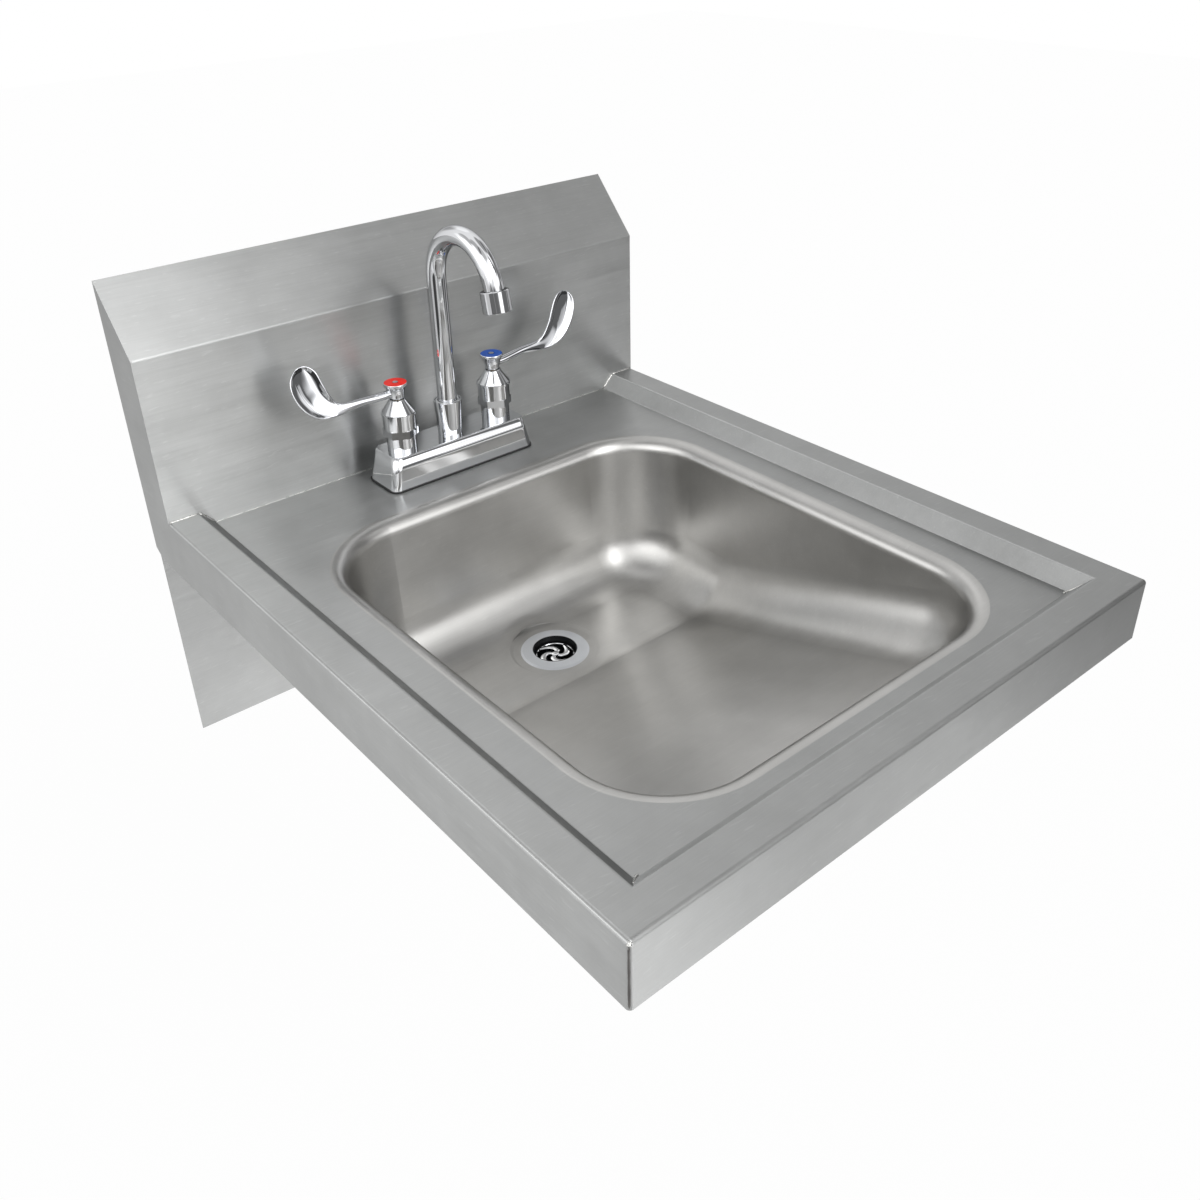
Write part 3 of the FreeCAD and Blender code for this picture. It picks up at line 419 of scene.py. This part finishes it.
def turned_metal(name, colour, roughness):
    """Bare metal with fine tool marks in rings about the upright."""
    n = Surface(name)
    place = n.place()
    lines = n.noise(n.vector("MULTIPLY", place, TOOL_MARKS), 1.0)
    n.paint(n.varied(n.noise(place, 80.0, 3.0, 0.6), 0.85, 1.05), colour)
    n.set(Metallic=1.0, Roughness=n.varied(lines, roughness - 0.08, roughness + 0.08))
    n.set(Normal=n.bump(lines, 0.2, 0.0001))
    return n.material


def moulded(name, colour, roughness, gloss=0.5):
    """Rubber or plastic with a faint grain."""
    n = Surface(name)
    place = n.place()
    cloud = n.noise(place, 120.0)
    n.paint(n.varied(cloud, 0.9, 1.05), colour)
    n.set(Roughness=n.varied(cloud, roughness - 0.05, roughness + 0.05), Specular_IOR_Level=gloss)
    n.set(Normal=n.bump(n.noise(place, 1400.0), 0.15, 0.0001))
    return n.material


STEEL = (0.514, 0.52, 0.516)
BOWL_STEEL = (0.54, 0.535, 0.522)
CHROME = (0.86, 0.87, 0.89)
# The blades' chrome is the plate's colour made darker: painted shade
SHADED_BLADE_CHROME = (0.7, 0.71, 0.735)
materials = {
    "sheet": brushed("sheet_steel", STEEL, 0.36, 0.93),
    "bowl": brushed("bowl_steel", BOWL_STEEL, 0.33, 0.2, line=0.6, side_grain=False, soft_recess=True),
    "drain": drain_steel("drain_steel", (0.76, 0.78, 0.81), 0.5),
    "chrome": polished("chrome_plate", CHROME, 0.025, edge=CHROME_EDGE),
    "chrome_base": polished("chrome_base", CHROME, 0.025, edge=CHROME_EDGE, shoulder=BASE_SHOULDER),
    # The blades get the darker copy of the chrome, which is painted shade
    "painted_shade_chrome_blade": polished("painted_shade_chrome_blade", SHADED_BLADE_CHROME, 0.03, edge=CHROME_EDGE, shoulder=BLADE_SHOULDER),
    "weld": polished("weld_bead", (0.62, 0.62, 0.60), 0.22, ripple=0.5),
    "seam": polished("weld_seam", (0.16, 0.155, 0.15), 0.4, ripple=0.5),
    "brass": turned_metal("bare_brass", (0.72, 0.55, 0.28), 0.32),
    "plain": turned_metal("plain_steel", (0.62, 0.62, 0.62), 0.32),
    "rubber": moulded("black_rubber", (0.012, 0.012, 0.013), 0.5),
    "white": moulded("white_plastic", (0.75, 0.75, 0.73), 0.4),
    "red": moulded("red_plastic", (0.86, 0.022, 0.012), 0.35, gloss=0.2),
    "blue": moulded("blue_plastic", (0.006, 0.08, 0.42), 0.35, gloss=0.2),
}
NODE_FINISH = {
    "sheet": "top_pan backsplash splash_end_left splash_end_right wall_skirt wall_hanger",
    "bowl": "bowl",
    "drain": "drain_body",
    "chrome_base": "faucet_base",
    "chrome": "spout_collar spout aerator_shell drain_strainer tailpiece tail_nut"
    " hot_handle_screw cold_handle_screw"
    " hot_valve_body hot_bonnet hot_handle cold_valve_body cold_bonnet cold_handle",
    "brass": "faucet_body shank_nuts spout_bushing drain_locknut"
    " hot_cartridge hot_stem cold_cartridge cold_stem",
    "plain": "shank_washers",
    "rubber": "faucet_gasket spout_rings aerator_washer drain_gasket tail_washer",
    "white": "aerator_insert drain_washer",
    "red": "hot_index",
    "blue": "cold_index",
}
for finish, names in NODE_FINISH.items():
    for name in names.split():
        data = nodes[name].data
        data.materials.clear()
        data.materials.append(materials[finish])


def smoothed(a, b, c, d, t):
    """The value between b and c on a smooth line through a, b, c and d."""
    return (2 * b + (c - a) * t + (2 * a - 5 * b + 4 * c - d) * t**2 + (3 * b - a - 3 * c + d) * t**3) / 2


def neighbours(row, index):
    """The entry at an index with the one before it and the two after it, kept inside the row."""
    last = len(row) - 1
    return [row[max(0, min(last, index + step))] for step in (-1, 0, 1, 2)]


def spline(points, steps):
    """Points along a smooth line through the given points."""
    line = []
    for index in range(len(points) - 1):
        around = [Vector(point) for point in neighbours(points, index)]
        line += [smoothed(*around, step / steps) for step in range(steps)]
    line.append(Vector(points[-1]))
    return line


def skin(name, rings, sharp=None, closed=False):
    """A skin over rings of points. Its two ends are filled, or joined to each other."""
    count = len(rings[0])
    verts = [point for ring in rings for point in ring]
    faces = []
    for i in range(len(rings) if closed else len(rings) - 1):
        low, high = i * count, (i + 1) % len(rings) * count
        for j in range(count):
            k = (j + 1) % count
            faces.append((low + j, low + k, high + k, high + j))
    if not closed:
        faces.append(tuple(reversed(range(count))))
        faces.append(tuple(range(len(verts) - count, len(verts))))
    obj = mesh_object(name, verts, faces)
    made = bmesh.new()
    made.from_mesh(obj.data)
    bmesh.ops.recalc_face_normals(made, faces=made.faces)
    made.to_mesh(obj.data)
    made.free()
    if sharp is not None:
        obj.data.set_sharp_from_angle(angle=math.radians(sharp))
    return obj


def subdivided(obj, levels):
    """The object with its mesh smoothed by subdivision."""
    smooth = obj.modifiers.new("smooth", "SUBSURF")
    smooth.levels = smooth.render_levels = levels
    return obj


def turned_piece(name, profile, centre, steps=64, sharp=35, closed=False):
    """A piece turned about an upright axis from (radius, height) points in millimetres."""
    rings = []
    for radius, height in profile:
        ring = []
        for step in range(steps):
            turn = 2 * math.pi * step / steps
            x, y = centre[0] + radius * math.cos(turn), centre[1] + radius * math.sin(turn)
            ring.append(Vector((x, y, height)) * MM)
        rings.append(ring)
    return skin(name, rings, sharp, closed)


# How much of its thickness a bead keeps at its two ends
BEAD_END_SHARE = 0.35


def bead(name, points, radius, sides=10, steps=5, swell=0.25, pitch=3.1):
    """A weld bead of uneven thickness along a line of points, in millimetres."""
    line = spline(points, steps)
    rings = []
    travelled = 0.0
    for index, point in enumerate(line):
        ahead = line[min(index + 1, len(line) - 1)] - line[max(index - 1, 0)]
        if index:
            travelled += (point - line[index - 1]).length
        frame_turn = ahead.to_track_quat("Z", "Y")
        uneven = 1 + swell * math.sin(travelled * 2 * math.pi / pitch) * math.sin(travelled / pitch)
        if index in (0, len(line) - 1):
            uneven *= BEAD_END_SHARE
        ring = []
        for side in range(sides):
            turn = 2 * math.pi * side / sides
            spoke = Vector((math.cos(turn), math.sin(turn), 0)) * radius * uneven
            ring.append((point + frame_turn @ spoke) * MM)
        rings.append(ring)
    return skin(name, rings)


def dress(obj, finish, body):
    """Gives a new piece its material and the body that it rides on."""
    obj.data.materials.append(materials[finish])
    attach(obj, body)
    return obj


# Wrist-blade handles, measured out from the hub's axis and up from the hub's top, in millimetres:
# the edge towards the hub, the far edge, how far the blade is dished, and how thick it is
VALVE_OUT = 50.8
FAUCET_Y = -87.0
HUB_TOP = 80.0
BLADE_STATIONS = (
    (3.0, -5.4, 3.0, -12.4, 0.0, 6.4),
    (9.0, -5.2, 9.0, -12.6, 0.0, 6.6),
    (16.0, -4.8, 16.0, -12.4, 0.0, 6.2),
    (26.0, -4.0, 25.0, -11.6, 0.0, 5.4),
    (36.0, -3.3, 34.0, -11.0, 0.05, 4.8),
    (46.0, -3.0, 44.0, -11.8, 0.15, 4.4),
    (53.5, -2.2, 55.5, -12.8, 0.35, 3.8),
    (58.5, 1.2, 66.5, -12.6, 0.6, 3.2),
    (62.3, 7.0, 76.5, -9.8, 0.85, 2.8),
    (65.6, 14.0, 85.0, -3.6, 1.0, 2.5),
    (68.2, 21.0, 91.5, 5.0, 1.0, 2.4),
    (70.4, 27.5, 95.5, 14.0, 1.0, 2.4),
    (73.0, 32.8, 97.0, 22.5, 0.95, 2.4),
    (77.0, 36.6, 95.6, 30.0, 0.8, 2.3),
    (81.5, 38.4, 91.8, 35.2, 0.5, 2.2),
    (85.5, 38.3, 88.3, 37.4, 0.2, 1.8),
)
BLADE_DISH = 3.6
BLADE_DISH_POWER = 4.0
BLADE_RIM_SHARE = 0.6
BLADE_ROUNDING = 0.85
BLADE_SIDE = 8
BLADE_STEPS = 3
BLADE_LIFT = {"hot": -1.6, "cold": 1.6}
BLADE_LIFT_START = 8.0
BLADE_LIFT_END = 38.0
HUB_PROFILE = (
    (3.6, -14.0),
    (6.2, -14.0),
    (6.45, -13.6),
    (6.6, -12.4),
    (7.1, -9.6),
    (8.0, -6.6),
    (9.2, -3.9),
    (10.0, -2.7),
    (10.35, -2.2),
    (10.4, -0.5),
    (10.2, -0.1),
    (9.95, 0.0),
    (9.78, -0.2),
    (9.78, -1.16),
    (2.6, -1.2),
)


def blade_section(station, side, lift):
    """One closed ring round the blade: its front from the far edge to the near one, then its back."""
    near_out, near_up, far_out, far_up, dish_share, thick = station
    near, far = Vector((near_out, near_up)), Vector((far_out, far_up))
    middle, half = (near + far) / 2, (near - far) / 2
    ring = []
    for face in (-1, 1):
        for step in range(BLADE_SIDE + 1):
            across = -1 + 2 * step / BLADE_SIDE
            across = -across if face > 0 else across
            place = middle + half * across
            bar = face * thick / 2 * math.sqrt(max(0.0, 1 - BLADE_ROUNDING * across**2))
            hollow = BLADE_DISH * dish_share * (1 - abs(across) ** BLADE_DISH_POWER - BLADE_RIM_SHARE)
            plate = hollow + face * thick / 2
            depth = bar + (plate - bar) * dish_share
            raised = max(0.0, min(1.0, (place.x - BLADE_LIFT_START) / (BLADE_LIFT_END - BLADE_LIFT_START)))
            height = HUB_TOP + place.y + lift * raised
            ring.append(Vector((side * (VALVE_OUT + place.x), FAUCET_Y + depth, height)) * MM)
    return ring


def make_handle(colour, side):
    """The dished blade on its arm, and the flared hub that carries it."""
    stations = []
    for index in range(len(BLADE_STATIONS) - 1):
        around = neighbours(BLADE_STATIONS, index)
        for step in range(BLADE_STEPS):
            stations.append(tuple(smoothed(*four, step / BLADE_STEPS) for four in zip(*around)))
    stations.append(BLADE_STATIONS[-1])
    blade = skin(colour + "_blade", [blade_section(station, side, BLADE_LIFT[colour]) for station in stations])
    subdivided(blade, 1)
    dress(blade, "painted_shade_chrome_blade", colour + "_tap")
    profile = [(radius, HUB_TOP + height) for radius, height in HUB_PROFILE]
    hub = turned_piece(colour + "_hub", profile, (side * VALVE_OUT, FAUCET_Y), closed=True)
    dress(hub, "chrome", colour + "_tap")
    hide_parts(colour + "_handle")


make_handle("hot", -1)
make_handle("cold", 1)

# Ring in the mouth of the spout's nut
COLLAR_TOP = 49.8
COLLAR_RING = (
    (8.62, -1.6),
    (11.4, -1.6),
    (11.55, -0.9),
    (11.3, -0.35),
    (10.4, 0.25),
    (9.4, 0.35),
    (8.75, 0.0),
    (8.62, -0.6),
)
ring_profile = [(radius, COLLAR_TOP + height) for radius, height in COLLAR_RING]
collar_ring = turned_piece("collar_ring", ring_profile, (0, FAUCET_Y), closed=True)
dress(collar_ring, "chrome", "basin")

# Strainer: a rim, a hub and curved arms
STRAINER_TOP = -154.3
STRAINER_RIM = (
    (19.4, -3.0),
    (19.4, -2.6),
    (18.2, -2.4),
    (18.0, -0.2),
    (17.6, 0.1),
    (16.6, 0.1),
    (16.2, -0.3),
    (16.2, -3.0),
)
STRAINER_HUB = ((3.9, -2.6), (4.0, -0.4), (3.4, 0.7), (2.0, 1.1), (0.4, 1.2))
ARM_COUNT = 4
ARM_PATH = ((2.8, 0), (6.2, 8), (9.8, 30), (12.6, 56), (16.6, 84))
ARM_WIDTHS = (1.6, 2.3, 2.6, 2.2, 1.7)
ARM_DEPTH = 2.2
ARM_CROWN = 0.5
ARM_SHOULDER_SHARE = 0.8
ARM_START = 28
ARM_STEPS = 4
ARM_SHARP = 40


def strainer_arm(name, start):
    """One curved arm from the hub to the rim."""
    line = []
    for (reach, turn), width in zip(ARM_PATH, ARM_WIDTHS):
        angle = math.radians(start + turn)
        line.append((reach * math.cos(angle), reach * math.sin(angle), width))
    line = spline(line, ARM_STEPS)
    rings = []
    for index, (x, y, half) in enumerate(line):
        ahead = line[min(index + 1, len(line) - 1)] - line[max(index - 1, 0)]
        across = Vector((-ahead.y, ahead.x, 0)).normalized() * half
        middle = Vector((x, DRAIN_Y + y, STRAINER_TOP))
        crown, foot = Vector((0, 0, ARM_CROWN)), Vector((0, 0, -ARM_DEPTH))
        shoulder = crown * ARM_SHOULDER_SHARE
        ring = [
            middle - across,
            middle - across / 2 + shoulder,
            middle + crown,
            middle + across / 2 + shoulder,
            middle + across,
            middle + across + foot,
            middle - across + foot,
        ]
        rings.append([point * MM for point in ring])
    return skin(name, rings, ARM_SHARP)


rim_profile = [(radius, STRAINER_TOP + height) for radius, height in STRAINER_RIM]
strainer = turned_piece("strainer_rim", rim_profile, (0, DRAIN_Y), closed=True)
dress(strainer, "chrome", "basin")
hub_profile = [(radius, STRAINER_TOP + height) for radius, height in STRAINER_HUB]
strainer_hub = turned_piece("strainer_hub", hub_profile, (0, DRAIN_Y))
dress(strainer_hub, "chrome", "basin")
for count in range(ARM_COUNT):
    arm = strainer_arm("strainer_arm_%d" % count, ARM_START + 360 * count / ARM_COUNT)
    dress(arm, "chrome", "basin")
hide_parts("drain_strainer")

# Welds, in millimetres: where the rims and the deck meet the backsplash, and at the corners
HALF_WIDTH = 254.0
FRONT_Y = -622.0
SPLASH_Y = -48.3
DECK_Z = -12.6
RIM_SIDE = 227.5
RIM_FOOT = 215.5
RIM_FRONT = -595.0
RIM_FRONT_FOOT = -583.0
APRON_FOOT = -48.5

for word, side in (("left", -1), ("right", 1)):
    rim_end = [(side * x, SPLASH_Y, 0.1) for x in (253.0, 246.0, 238.0, RIM_SIDE)]
    dress(bead("rim_weld_" + word, rim_end, 1.0), "weld", "basin")
    slope = [(RIM_SIDE, 0.1), (221.5, -6.1), (RIM_FOOT, DECK_Z)]
    slope = [(side * x, SPLASH_Y, z) for x, z in slope]
    dress(bead("slope_weld_" + word, slope, 1.5), "weld", "basin")
    mitre = [
        (side * (RIM_SIDE - 5), RIM_FRONT + 5, -5.6),
        (side * (RIM_SIDE - 8.5), RIM_FRONT + 8.5, -9.2),
        (side * (RIM_FOOT - 0.5), RIM_FRONT_FOOT + 0.5, -12.3),
        (side * (RIM_FOOT - 4), RIM_FRONT_FOOT + 1.5, -12.9),
    ]
    dress(bead("recess_weld_" + word, mitre, 0.9, pitch=2.3), "weld", "basin")
# The left front corner shows its seam, and the right one is ground smooth
seam = [(0.4 - HALF_WIDTH, FRONT_Y + 0.4, z) for z in (-3.0, -18.0, -33.0, APRON_FOOT)]
dress(bead("corner_seam", seam, 0.75, swell=0.1), "seam", "basin")
tip = [(2.6 - HALF_WIDTH, FRONT_Y + 2.0, -1.0), (0.9 - HALF_WIDTH, FRONT_Y + 0.9, -3.4)]
dress(bead("corner_weld", tip, 1.5, pitch=2.0), "weld", "basin")
joint = [(x, SPLASH_Y, DECK_Z) for x in (-RIM_FOOT, -140.0, -60.0, 20.0, 100.0, 160.0, RIM_FOOT)]
dress(bead("deck_weld", joint, 0.45, steps=24, pitch=17.0), "weld", "basin")


def light_path(n):
    """The light path node, and whether a ray was mirrored or sent through something."""
    path = n.add("ShaderNodeLightPath")
    return path, n.math("MAXIMUM", path.outputs["Is Glossy Ray"], path.outputs["Is Transmission Ray"])


def make_floor():
    """A pale floor, white to the camera, that gives the room's light back to reflections."""
    low, high, level = -FLOOR_HALF, FLOOR_HALF, -FLOOR_DROP
    corners = [(low, low, level), (high, low, level), (high, high, level), (low, high, level)]
    floor = mesh_object("floor", corners, [(0, 1, 2, 3)], smooth=False)
    n = Surface("floor")
    n.tree.nodes.remove(n.shader)
    path, mirrored = light_path(n)
    seen = n.math("MULTIPLY_ADD", path.outputs["Is Camera Ray"], FLOOR_WHITE_SHARE, mirrored, clamp=True)
    place = n.add("ShaderNodeNewGeometry").outputs["Position"]
    direction = n.vector("NORMALIZE", n.vector("SUBTRACT", place, ROOM_AIM))
    lit = n.add("ShaderNodeBsdfDiffuse")
    n.put(lit, "Color", (FLOOR_COLOUR, FLOOR_COLOUR, FLOOR_COLOUR, 1))
    glow = n.add("ShaderNodeEmission")
    n.put(glow, "Color", (1, 1, 1, 1))
    brightness = n.add("ShaderNodeMix", data_type="FLOAT")
    n.put(brightness, 0, mirrored)
    n.put(brightness, 2, 1.0)
    n.put(brightness, 3, room_level(n, direction))
    n.put(glow, "Strength", brightness.outputs[0])
    mixed = n.add("ShaderNodeMixShader")
    n.put(mixed, 0, seen)
    n.link(lit.outputs[0], mixed.inputs[1])
    n.link(glow.outputs[0], mixed.inputs[2])
    n.link(mixed.outputs[0], n.output.inputs["Surface"])
    floor.data.materials.append(n.material)


def make_world():
    """White behind the object to the camera, and the studio's room in light and reflections."""
    world = bpy.data.worlds.new("studio")
    scene.world = world
    world.use_nodes = True
    n = Nodes(world.node_tree)
    output = n.add("ShaderNodeOutputWorld")
    path, mirrored = light_path(n)
    seen = n.math("MULTIPLY_ADD", mirrored, ROOM_GLOSS_SHARE, path.outputs["Is Camera Ray"], clamp=True)
    room = n.add("ShaderNodeBackground")
    n.put(room, "Color", (1, 1, 1, 1))
    n.put(room, "Strength", room_level(n, n.add("ShaderNodeTexCoord").outputs["Generated"]))
    white = n.add("ShaderNodeBackground")
    n.put(white, "Color", (1, 1, 1, 1))
    mixed = n.add("ShaderNodeMixShader")
    n.put(mixed, 0, seen)
    n.link(room.outputs[0], mixed.inputs[1])
    n.link(white.outputs[0], mixed.inputs[2])
    n.link(mixed.outputs[0], output.inputs["Surface"])


make_floor()
make_world()

camera_data = bpy.data.cameras.new("camera")
camera = bpy.data.objects.new("camera", camera_data)
scene.collection.objects.link(camera)
camera.location = CAMERA_PLACE
camera.rotation_euler = [math.radians(turn) for turn in CAMERA_TURN]
camera_data.sensor_width = CAMERA_SENSOR
camera_data.lens = CAMERA_LENS
camera_data.shift_y = CAMERA_SHIFT_Y
camera_data.clip_start = CAMERA_NEAR
camera_data.clip_end = CAMERA_FAR
scene.camera = camera
